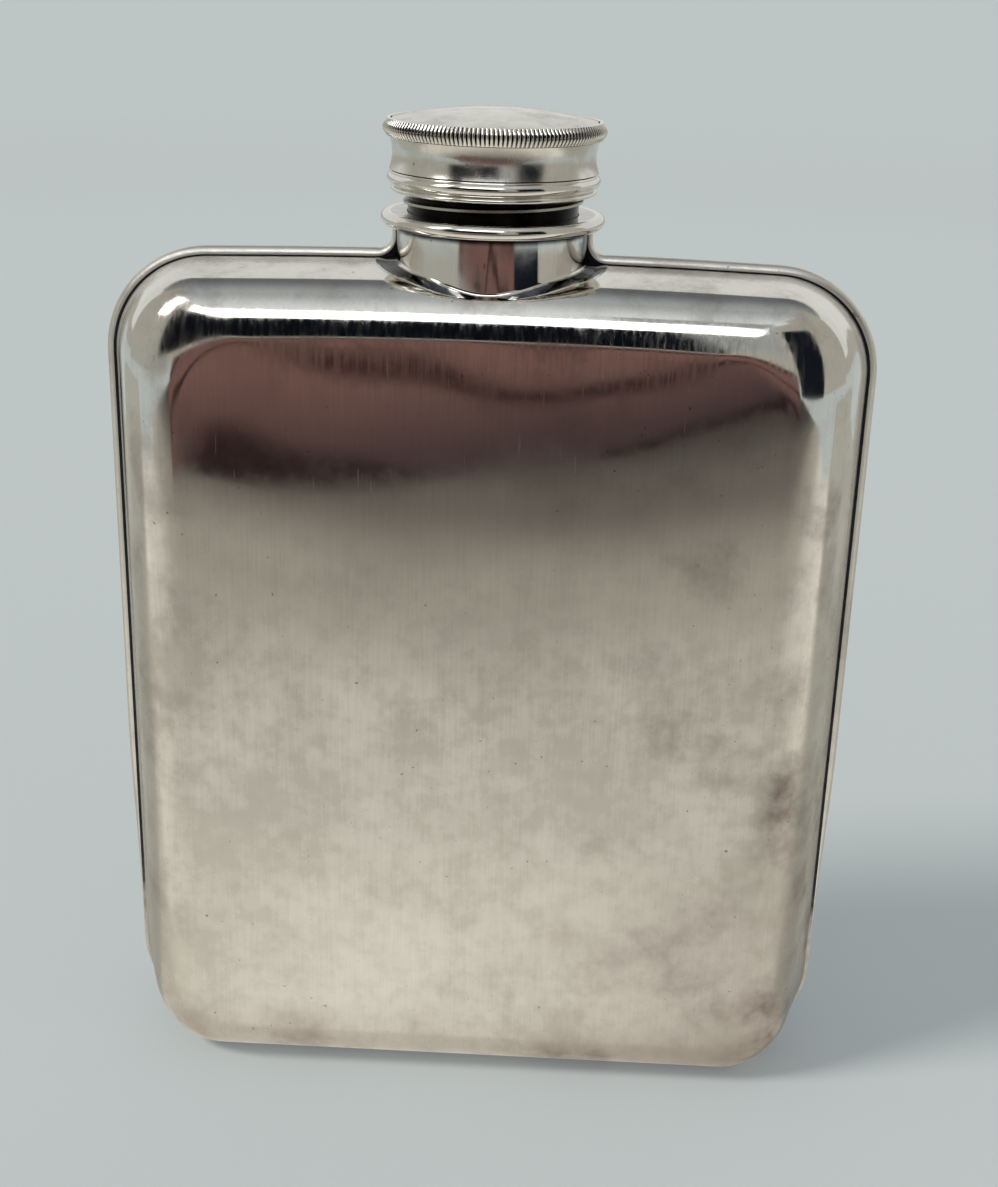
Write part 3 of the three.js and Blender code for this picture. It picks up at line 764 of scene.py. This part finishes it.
def seam_strip():
    half_route = strip_route()
    flipped = [(Vector((-p.x, p.y)), Vector((-n.x, n.y)), proud) for p, n, proud in half_route[1:]]
    route = flipped[::-1] + half_route
    section = strip_section()
    bm = bmesh.new()
    ring = [bm.verts.new((index, 0, 0)) for index in range(len(section))]
    edges = [bm.edges.new(pair) for pair in zip(ring, ring[1:] + ring[:1])]
    for _ in route[1:]:
        grown = bmesh.ops.extrude_edge_only(bm, edges=edges)["geom"]
        edges = [item for item in grown if isinstance(item, bmesh.types.BMEdge)]
        moving = [item for item in grown if isinstance(item, bmesh.types.BMVert)]
        edges = [edge for edge in edges if all(v in moving for v in edge.verts)]
        bmesh.ops.translate(bm, vec=(0, 1, 0), verts=moving)
    layer = bm.verts.layers.float.new(TARNISH_AND_SHADE)
    for vertex in bm.verts:
        point, facing, proud = route[round(vertex.co.y)]
        out, depth = section[round(vertex.co.x)]
        inside = out <= 0
        # Painted shade: the part in the joint is darkened as the crevice's shade, more where the strip
        # stands prouder.
        vertex[layer] = min(0.8, 0.25 + (proud - LOW_PROUD) / (NECK_PROUD - LOW_PROUD)) if inside else 0.0
        place = point + facing * (out if inside else out * proud / BAND_PROUD)
        lowest = IN_BASE if inside else 0.0
        vertex.co = Vector((place.x, depth, max(place.y, lowest)))
    rims = [edge for edge in bm.edges if edge.is_boundary]
    bmesh.ops.holes_fill(bm, edges=rims, sides=0)
    return bm


make_piece(seam_strip(), "seam_strip", strip_silver, "flask", "silver", "seam_band")

# %% [markdown]
# ## The collar and the screw tube
# A collar with a fat rounded rim sits on the neck, and the cap stops against it. The tube through it
# is turned and screw-cut. A thread is one small trapezium spun round the axis while it climbs: spin
# takes a step of travel as well as an angle, so the helix is a single call.

# %% Thread sizes, from the tube's box
PITCH = 1.2
THREAD_DEPTH = 0.6
THREAD_BASE, THREAD_CREST = 0.7, 0.3  # width of the ridge at its foot and at its crest
THREAD_GAP = 0.2  # crest to the wall that faces it
THREAD_START = 1.4  # collar to the first full crest, at the front
TUBE_WALL = 1.15
tube_low, tube_high = node_box("threaded_neck")
CREST_RADIUS = tube_high.x
ROOT_RADIUS = CREST_RADIUS - THREAD_DEPTH
MALE_START = collar_high.z + THREAD_START - PITCH / 2
MALE_PHASE = pi / 2
SUNK = 0.08  # how far a ridge's foot is let into its wall
TURN_STEPS = 90


def thread(foot, crest, start_z, phase, turns):
    """A helical ridge from its foot radius to its crest radius. It climbs anticlockwise."""
    inwards = -1 if crest < foot else 1
    section = [
        (foot - SUNK * inwards, -THREAD_BASE / 2), (crest, -THREAD_CREST / 2),
        (crest, THREAD_CREST / 2), (foot - SUNK * inwards, THREAD_BASE / 2),
    ]
    bm = bmesh.new()
    ring = [bm.verts.new((r * cos(phase), r * sin(phase), start_z + z)) for r, z in section]
    edges = [bm.edges.new(pair) for pair in zip(ring, ring[1:] + ring[:1])]
    steps = round(turns * TURN_STEPS)
    bmesh.ops.spin(
        bm, geom=ring + edges, cent=(0, 0, 0), axis=(0, 0, 1), angle=steps * tau / TURN_STEPS,
        dvec=(0, 0, PITCH / TURN_STEPS), steps=steps,
    )
    ends = [edge for edge in bm.edges if edge.is_boundary]
    for vertex in {v for edge in ends for v in edge.verts}:
        flat = vertex.co.xy.normalized() * (foot - SUNK * inwards * 0.5)
        vertex.co.xy = flat
    bmesh.ops.holes_fill(bm, edges=ends, sides=0)
    layer = bm.verts.layers.float.new(WORN)
    for vertex in bm.verts:
        vertex[layer] = 1.0 if abs(vertex.co.xy.length - crest) < 0.01 else 0.0
    return bm


def joined(first, second):
    """The second bmesh added to the first."""
    mesh = bpy.data.meshes.new("spare")
    second.to_mesh(mesh)
    second.free()
    first.from_mesh(mesh)
    bpy.data.meshes.remove(mesh)
    return first


# %% Collar and tube
COLLAR_RIM = (collar_high.z - collar_low.z) / 2
DISH = 0.09  # how far the collar's top is turned down inside its rim
LIP_ROUND = 0.25  # rounding of the tube's mouth


def collar():
    bore = ROOT_RADIUS + SEAM_GAP
    rim_r, rim_z = collar_high.x - COLLAR_RIM, collar_low.z + COLLAR_RIM
    rim = arc((rim_r, rim_z), COLLAR_RIM, -90, 90, 20)
    dish = [(r, collar_high.z - DISH) for r in (rim_r - 0.35, rim_r - 0.5, bore)]
    bm = turned([(bore, collar_low.z)] + rim + dish, steps=240)
    layer = bm.verts.layers.float.new(TARNISH_AND_SHADE)
    for vertex in bm.verts:
        # Painted dark reflection: the dish inside the rim, under the cap, is darkened to dark grey.
        vertex[layer] = 0.36 if vertex.co.xy.length < rim_r - 0.45 else 0.0
    return bm


def screw_tube():
    bore = ROOT_RADIUS - TUBE_WALL
    mouth = tube_high.z - LIP_ROUND
    lip = arc((ROOT_RADIUS - LIP_ROUND, mouth), LIP_ROUND, 0, 90, 4)
    inner = arc((bore + LIP_ROUND, mouth), LIP_ROUND, 90, 180, 4)
    tube = turned([(bore, tube_low.z), (ROOT_RADIUS, tube_low.z)] + lip + inner, steps=TURN_STEPS * 2)
    turns = (tube_high.z - THREAD_BASE / 2 - 0.3 - MALE_START) / PITCH
    return joined(tube, thread(ROOT_RADIUS, CREST_RADIUS, MALE_START, MALE_PHASE, turns))


make_piece(collar(), "rolled_collar", turned_silver, "flask", "silver", "neck_collar")
make_piece(screw_tube(), "screw_tube", thread_silver, "flask", "thread_silver", "threaded_neck")

# %% [markdown]
# ## The cap
# Five rings and a dome are soldered over a threaded sleeve. From the foot up they are a rolled bead
# with a small lip under it, a hollow waist, a milled ring and a domed plate let into the ring's
# ledge. All but the milling come straight off the lathe helper, at the heights of their own nodes.

# %% Sleeve, bead and waist
sleeve_low, sleeve_high = node_box("cap_thread_sleeve")
bead_low, bead_high = node_box("cap_foot_bead")
waist_low, waist_high = node_box("cap_waist")
SLEEVE_BORE = CREST_RADIUS + THREAD_GAP
FEMALE_START = sleeve_low.z + THREAD_BASE
CAP_BORE = sleeve_high.x + SEAM_GAP
WAIST_HOLLOW = 0.34


def threaded_sleeve():
    """The sleeve's ridge runs half a pitch away from the tube's, at the height that this phase gives."""
    rounds_up = (FEMALE_START - MALE_START) / PITCH - 0.5
    phase = MALE_PHASE + rounds_up * tau
    turns = (sleeve_high.z - THREAD_BASE - FEMALE_START) / PITCH
    outer, low, high = sleeve_high.x, sleeve_low.z, sleeve_high.z
    sleeve = turned([(SLEEVE_BORE, low), (outer, low), (outer, high), (SLEEVE_BORE, high)], steps=TURN_STEPS)
    crest = SLEEVE_BORE - THREAD_DEPTH
    return joined(sleeve, thread(SLEEVE_BORE, crest, FEMALE_START, phase, turns))


FOOT_LIP = 0.3  # radius of the thin rolled lip at the cap's foot
BEAD_OUT, BEAD_UP = 1.55, 1.05  # half width and half height of the oval that the bead is cut from
BEAD_EDGE = 0.22  # rounding of the step under the waist


def rolled_bead():
    """A fat bead over a thin rolled lip."""
    foot, top = bead_low.z, bead_high.z
    lip = arc((CAP_BORE + 0.42, foot + FOOT_LIP), FOOT_LIP, -80, 50, 8)
    middle = (bead_high.x - BEAD_OUT, top - 0.95)
    turns = even(radians(-62), radians(40), 16)
    belly = [(middle[0] + BEAD_OUT * cos(a), middle[1] + BEAD_UP * sin(a)) for a in turns]
    step = arc((CAP_BORE + 0.68, top - BEAD_EDGE), BEAD_EDGE, 0, 90, 4)
    inside = [(CAP_BORE, foot), (CAP_BORE + 0.35, foot)]
    return turned([*inside, *lip, *belly, *step, (CAP_BORE, top)], steps=240)


def hollow_waist():
    heights = even(waist_low.z, waist_high.z, 20)
    middle, reach = (waist_low.z + waist_high.z) / 2, (waist_high.z - waist_low.z) / 2
    curve = [(waist_high.x - WAIST_HOLLOW * (1 - ((z - middle) / reach) ** 2), z) for z in heights]
    return turned([(CAP_BORE, waist_low.z)] + curve + [(CAP_BORE, waist_high.z)], steps=240)


sleeve = threaded_sleeve()
make_piece(sleeve, "threaded_sleeve", thread_silver, "cap", "thread_silver", "cap_thread_sleeve")
make_piece(rolled_bead(), "rolled_bead", turned_silver, "cap", "silver", "cap_foot_bead")
make_piece(hollow_waist(), "hollow_waist", worn_silver, "cap", "silver", "cap_waist")

# %% [markdown]
# ## The milled ring
# A wheel with fine grooves is rolled round the ring to give the fingers grip. Only one ridge is
# modelled, as a slice of the ring between two grooves, and spin repeats it all the way round with
# duplicates. The slice has few faces, because there are a hundred and sixty of them.

# %% One ridge, spun into a ring
RIDGES = 160
GROOVE_DEPTH = 0.32
SLICE_STEPS = 6  # faces across one ridge
grip_low, grip_high = node_box("cap_knurled_ring")
plate_low, plate_high = node_box("cap_top_plate")
SEAT_RADIUS = plate_high.x + SEAM_GAP
RING_BORE = node_box("cap_liner_plate")[1].x + SEAM_GAP
BARREL = 0.5  # how far the ring swells between its rims
BARREL_STEPS = 8


def milled_ring():
    rim = grip_high.x - BARREL
    low, high, ledge = grip_low.z, grip_high.z, plate_low.z - SEAM_GAP / 2
    barrel = [(rim + BARREL * sin(pi * t), low + (high - low) * t) for t in even(0, 1, BARREL_STEPS)]
    profile = barrel + [(SEAT_RADIUS, high), (SEAT_RADIUS, ledge), (RING_BORE, ledge), (RING_BORE, low)]
    slice_angle = tau / RIDGES
    bm = turned(profile, steps=SLICE_STEPS, angle=slice_angle)
    layer = bm.verts.layers.float.new(TARNISH_AND_SHADE)
    for vertex in bm.verts:
        radius = vertex.co.xy.length
        if radius < rim - 1e-6:
            continue
        across = abs(2 * atan2(vertex.co.y, vertex.co.x) / slice_angle - 1)
        up = (vertex.co.z - low) / (high - low)
        depth = GROOVE_DEPTH * across**1.8 * (0.15 + 0.85 * sin(pi * up) ** 0.6)
        vertex.co.xy *= (radius - depth) / radius
        vertex[layer] = min(1.0, 1.3 * across**3) * (0.3 + 0.7 * sin(pi * up) ** 0.5)
    bmesh.ops.spin(
        bm, geom=bm.verts[:] + bm.edges[:] + bm.faces[:], cent=(0, 0, 0), axis=(0, 0, 1),
        angle=tau - slice_angle, steps=RIDGES - 1, use_duplicate=True,
    )
    return bm


make_piece(milled_ring(), "milled_ring", turned_silver, "cap", "silver", "cap_knurled_ring")

# %% [markdown]
# ## The domed plate and what is under it
# The plate is a disc raised over a stake. It drops into the ring's ledge and leaves a hair line all
# round. Under it sit a thin silver plate and the cork that seals the tube's mouth. The cork turns
# free of the cap, so it stays with the liner body.

# %% Dome, liner plate and cork
PLATE_ROUND = 0.22  # rounding of the plate's edge
PLATE_LOW = 0.02  # plate's edge below the ring's top


def domed_plate():
    radius, edge = plate_high.x, grip_high.z - PLATE_LOW
    inner, rise = radius - PLATE_ROUND, plate_high.z - edge
    dome = [(inner * sqrt(t), edge + rise * (1 - t)) for t in even(1, 0, 36)]
    rounding = arc((inner, edge - PLATE_ROUND), PLATE_ROUND, 0, 78, 5)
    return turned([(0, plate_low.z), (radius, plate_low.z)] + rounding + dome[1:], steps=240, closed=False)


def eased_disc(node, rounding):
    """A plain disc with rounded edges, the size of a node."""
    low, high = node_box(node)
    radius = high.x
    under = arc((radius - rounding, low.z + rounding), rounding, -90, 0, 5)
    over = arc((radius - rounding, high.z - rounding), rounding, 0, 90, 5)
    return turned([(0, low.z)] + under + over + [(0, high.z)], steps=120, closed=False)


make_piece(domed_plate(), "domed_plate", plate_silver, "cap", "silver", "cap_top_plate")
liner = eased_disc("cap_liner_plate", 0.1)
make_piece(liner, "liner_plate", thread_silver, "cap", "thread_silver", "cap_liner_plate")
make_piece(eased_disc("cork_liner", 0.25), "cork_disc", cork, "liner", "cork", "cork_liner")

# %% [markdown]
# ## The camera
# The eye is close, about 20 cm in front and just over the cap, so the flask narrows towards its base.
# The camera turns a little to the left, looks down and rolls by a degree or two, as a hand-held one
# does.

# %% Camera
EYE = Vector((9.9, -214.2, 148.7))
YAW, PITCH_DOWN, ROLL = radians(-2.08), radians(20.53), radians(1.64)
ahead = Vector((sin(YAW) * cos(PITCH_DOWN), cos(YAW) * cos(PITCH_DOWN), -sin(PITCH_DOWN)))
right = Vector((cos(YAW), -sin(YAW), 0))
up = right.cross(ahead)
rolled_right = right * cos(ROLL) + up * sin(ROLL)
rolled_up = up * cos(ROLL) - right * sin(ROLL)

lens = bpy.data.cameras.new("camera")
lens.lens, lens.sensor_width, lens.clip_start = 50.8, 36, 0.01
camera = bpy.data.objects.new("camera", lens)
turn = Matrix((rolled_right, rolled_up, -ahead)).transposed().to_4x4()
camera.matrix_world = Matrix.Translation(EYE * MM) @ turn
bpy.context.scene.collection.objects.link(camera)
bpy.context.scene.camera = camera
bpy.context.scene.view_settings.view_transform = "Standard"
print(f"camera {EYE.length:.0f} mm from the base, looking {degrees(PITCH_DOWN):.1f} degrees down")

# %% [markdown]
# ## The studio
# Silver shows the room more than itself. The pale floor sweeps up into a backdrop, and one soft sun
# falls from the upper left. What the metal sees is set with curved cards round the flask, as is done
# for any polished ware: a white one high up for the bright band on the shoulder, a dark blue one
# under it, a brown one just below the level of the shoulder, grey ones overhead and beside, and cards
# on the floor that run from dark far away to cream close by, because the face reflects the floor. The
# cards are hidden from the camera and from the shading of the floor, so only reflections show them.

# %% Floor and backdrop
def show(name, bm, material):
    for face in bm.faces:
        face.smooth = True
    mesh = bpy.data.meshes.new(name)
    bm.to_mesh(mesh)
    bm.free()
    mesh.materials.append(material)
    stand = bpy.data.objects.new(name, mesh)
    bpy.context.scene.collection.objects.link(stand)
    return stand


def sweep():
    """A floor that curves up behind, 6 m wide, by extruding one line of vertices."""
    bm = bmesh.new()
    line = [(-2.0, 0.0), (1.2, 0.0)]
    line += [(1.2 + 0.8 * sin(a), 0.8 - 0.8 * cos(a)) for a in even(0.1, pi / 2, 14)] + [(2.0, 3.0)]
    verts = [bm.verts.new((-3, y, z)) for y, z in line]
    edges = [bm.edges.new(pair) for pair in zip(verts, verts[1:])]
    grown = bmesh.ops.extrude_edge_only(bm, edges=edges)["geom"]
    bmesh.ops.translate(bm, vec=(6, 0, 0), verts=[v for v in grown if isinstance(v, bmesh.types.BMVert)])
    bmesh.ops.recalc_face_normals(bm, faces=bm.faces)
    return bm


def lit_paper(name):
    """Matt paper that also gives a little light of its own, so that shadows on it stay soft."""
    material, tree = new_material(name)
    own_light = {"Emission Color": colour("#BEC5C7"), "Emission Strength": 0.24}
    shader = add(tree, "BsdfPrincipled", {"Base Color": colour("#B5BBBC"), "Roughness": 0.9, **own_light})
    add(tree, "OutputMaterial", links={"Surface": shader.outputs[0]})
    return material


show("floor", sweep(), lit_paper("lit_matt_paper"))

# %% Cards that only reflections see
CARD_CENTRE = Vector((0, 0, 0.09))  # the cards are centred on the upper part of the flask


def between(ends, share):
    return ends[0] + (ends[1] - ends[0]) * share


def hide(stand):
    """Leaves a card to the reflections alone."""
    stand.visible_camera = stand.visible_diffuse = stand.visible_shadow = False
    return stand


def card(name, heights, azimuths, distances, paint, steps=16):
    """A curved card round the flask, between two elevations and two azimuths in degrees. Azimuth 0 is
    straight in front, and an elevation past 90 leans over to the back. The distances are those of the
    card's left and right edges, in metres."""
    bm = bmesh.new()
    bmesh.ops.create_grid(bm, x_segments=steps, y_segments=steps, size=0.5)
    for vertex in bm.verts:
        across, upwards = vertex.co.x + 0.5, vertex.co.y + 0.5
        azimuth = radians(between(azimuths, across))
        height = radians(between(heights, upwards))
        out = Vector((sin(azimuth) * cos(height), -cos(azimuth) * cos(height), sin(height)))
        vertex.co = CARD_CENTRE + out * between(distances, across)
    return hide(show(name, bm, paint))


FOLD_SHADE = "#1E1416"


def glow(name, strength, *codes, axis=2, reach=(0, 1), folds=0.0):
    """Light-giving paint of one colour, or of several along an axis of the room, within a reach in metres.
    folds is how dark the creases of a draped cloth come out in it."""
    material, tree = new_material(name)
    where = add(tree, "TexCoord").outputs["Object"]
    along = add(tree, "SeparateXYZ", links={0: where}).outputs[axis]
    paint = colour(codes[0])
    places = even(*reach, len(codes) - 1) if len(codes) > 1 else []
    for code, start, end in zip(codes[1:], places, places[1:]):
        paint = blend_colours(tree, soft_step(tree, along, start, end), paint, colour(code))
    if folds:
        settings = {"bands_direction": "Z", "Scale": 7, "Distortion": 7, "Detail": 1, "Detail Scale": 1.2}
        wave = add(tree, "TexWave", settings, {"Vector": where}).outputs["Fac"]
        crease = both(tree, "MULTIPLY", soft_step(tree, wave, 0.25, 0.0), folds)
        paint = blend_colours(tree, crease, paint, colour(FOLD_SHADE))
    light = add(tree, "Emission", {"Strength": strength})
    if isinstance(paint, list):
        light.inputs[0].default_value = paint
    else:
        tree.links.new(paint, light.inputs[0])
    add(tree, "OutputMaterial", links={"Surface": light.outputs[0]})
    return material


# %% The cards, from the bright band down
BROWNS = ("#43383A", "#7A5C56", "#6E5350")  # from the floor up
GREYS = ("#E4E8EA", "#A6ABAE", "#6B6F72")  # from over the camera to the back
brown_cloth = glow("brown_card_paint", 0.95, *BROWNS, reach=(0.0, 0.10), folds=0.85)
ceiling = glow("ceiling_card_paint", 1.0, *GREYS, axis=1, reach=(-0.64, 0.6))
card("white_card", (34, 49), (-37, 15), (0.9, 0.9), glow("white_card_paint", 3.4, "#FFFFFF"))
card("star_card", (26, 54), (-68, -55), (0.9, 0.9), glow("star_card_paint", 6.0, "#FFFFFF"))
card("soft_card", (4, 58), (6, 24), (0.95, 0.95), glow("soft_card_paint", 0.75, "#B9BDBC"))
card("blue_card", (0, 34), (-48, 8), (0.8, 0.8), glow("blue_card_paint", 1.0, "#0B0E14"))
card("dark_card", (-16, 36), (28, 58), (0.8, 0.8), glow("dark_card_paint", 1.0, "#11151D"))
card("brown_card", (-15.3, 0), (-36, 28), (0.24, 0.50), brown_cloth)
card("left_card", (-30, 8), (-105, -36), (0.85, 0.85), glow("left_card_paint", 0.9, "#B4B4AC"))
card("back_card", (142, 176), (-70, 70), (1.0, 1.0), glow("back_card_paint", 0.95, "#E2E3E0"))
card("right_card", (-30, 58), (42, 105), (0.85, 0.85), glow("right_card_paint", 0.9, "#B4B1A8"))
card("ceiling_card", (50, 138), (-70, 70), (1.0, 1.0), ceiling)
card("room_card", (-30, 62), (-180, 180), (1.4, 1.4), glow("room_card_paint", 0.9, "#B4B1A8"), steps=32)


# %% Cards on the floor
CARD_HEIGHT = 0.001  # metres over the floor


def floor_card(name, start, end, paint):
    """A card that lies just over the floor, from one (x, y) to another."""
    bm = bmesh.new()
    bmesh.ops.create_grid(bm, x_segments=1, y_segments=8, size=0.5)
    middle = ((start[0] + end[0]) / 2, (start[1] + end[1]) / 2, CARD_HEIGHT)
    bmesh.ops.scale(bm, vec=(end[0] - start[0], end[1] - start[1], 1), verts=bm.verts)
    bmesh.ops.translate(bm, vec=middle, verts=bm.verts)
    return hide(show(name, bm, paint))


FLOOR_TONES = ("#3A3533", "#3F3A38", "#47423F", "#66625C", "#A19D93", "#D0CEC5", "#E6E2D8")
floor_paint = glow("front_bounce_paint", 1.1, *FLOOR_TONES, axis=1, reach=(-0.62, -0.02))
foot_paint = glow("foot_bounce_paint", 1.05, "#DAD4C9")
floor_card("front_bounce", (-0.35, -0.64), (0.35, -0.02), floor_paint)
floor_card("foot_bounce", (-0.35, -0.02), (0.35, -0.0055), foot_paint)
floor_card("right_bounce", (0.06, -0.02), (0.5, 0.3), glow("right_bounce_paint", 0.9, "#B9B8AF"))
floor_card("left_bounce", (-0.5, -0.02), (-0.052, 0.3), glow("left_bounce_paint", 0.9, "#B9B8AF"))

# %% Light
sun = bpy.data.lights.new("soft_sun", "SUN")
sun.energy, sun.angle, sun.color = 1.9, radians(16), colour("#FFFBF4")[:3]
lamp = bpy.data.objects.new("soft_sun", sun)
lamp.rotation_euler = Vector((0.75, 0.30, -0.72)).to_track_quat("-Z", "Y").to_euler()
lamp.visible_glossy = False
bpy.context.scene.collection.objects.link(lamp)

world = bpy.data.worlds.new("studio")
bpy.context.scene.world = world
world.use_nodes = True
world.node_tree.nodes["Background"].inputs[0].default_value = colour("#C4CACC")
world.node_tree.nodes["Background"].inputs[1].default_value = 0.7
